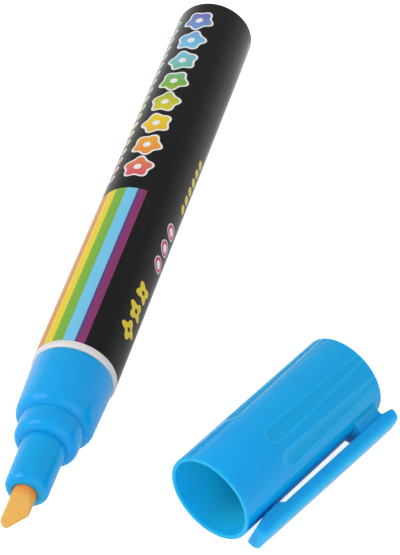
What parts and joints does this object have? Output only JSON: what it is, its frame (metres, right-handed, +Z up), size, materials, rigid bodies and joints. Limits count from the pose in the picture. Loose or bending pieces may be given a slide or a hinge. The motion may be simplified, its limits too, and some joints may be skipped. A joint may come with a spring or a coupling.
{
  "type": "liquid marker with its cap off",
  "caption": "Fat liquid marker lying on its side: printed barrel, stepped nose, chisel nib that presses in to open a sprung valve, loose mixing ball, and a fluted clip cap beside it.",
  "frame": {"origin": "on the lowest line of the printed sleeve, halfway along the sleeve, where the marker touches the table", "axes": "+X along the marker from the nib to the tail, +Z up from the table; the cap lies on the -Y side"},
  "size_m": [0.1419, 0.0665, 0.017],
  "materials": {
    "white_plastic": "moulded white plastic",
    "black_film": "black film with a printed stripe panel",
    "blue_plastic": "moulded blue plastic, semi-gloss",
    "nib_fibre": "bonded fibre soaked with ink",
    "clear_plastic": "milky moulded plastic",
    "valve_plastic": "natural moulded plastic",
    "steel": "bright steel"
  },
  "bodies": {
    "marker": {"barrel": "white_plastic", "printed_sleeve": "black_film", "front_section": "blue_plastic", "valve_body": "clear_plastic", "valve_cage": "valve_plastic", "valve_spring": "steel"},
    "nib": {"nib": "nib_fibre", "valve_stem": "valve_plastic"},
    "ball": {"mixing_ball": "steel"},
    "cap": {"cap_shell": "blue_plastic", "cap_inner_seal": "valve_plastic"},
    "clip": {"clip": "blue_plastic"}
  },
  "joints": [
    {"name": "nib_press", "type": "slide", "parent": "marker", "child": "nib", "axis": [1, 0, 0], "range_m": [0, 0.002], "stiffness_N_per_m": 1500, "deforming": ["valve_spring"]},
    {"name": "ball_roll", "type": "slide", "parent": "marker", "child": "ball", "axis": [1, 0, 0], "range_m": [-0.035, 0.052]},
    {"name": "cap_swing", "type": "hinge", "parent": "marker", "child": "cap", "pos_m": [-0.08112, -0.01366, 0], "axis": [0, 0, 1], "range_deg": [-154.9, 0]},
    {"name": "clip_flex", "type": "hinge", "parent": "cap", "child": "clip", "pos_m": [-0.04651, -0.05374, 0.00547], "axis": [-0.152, -0.3245, 0.9336], "range_deg": [0, 3], "stiffness_Nm_per_rad": 1.7}
  ]
}
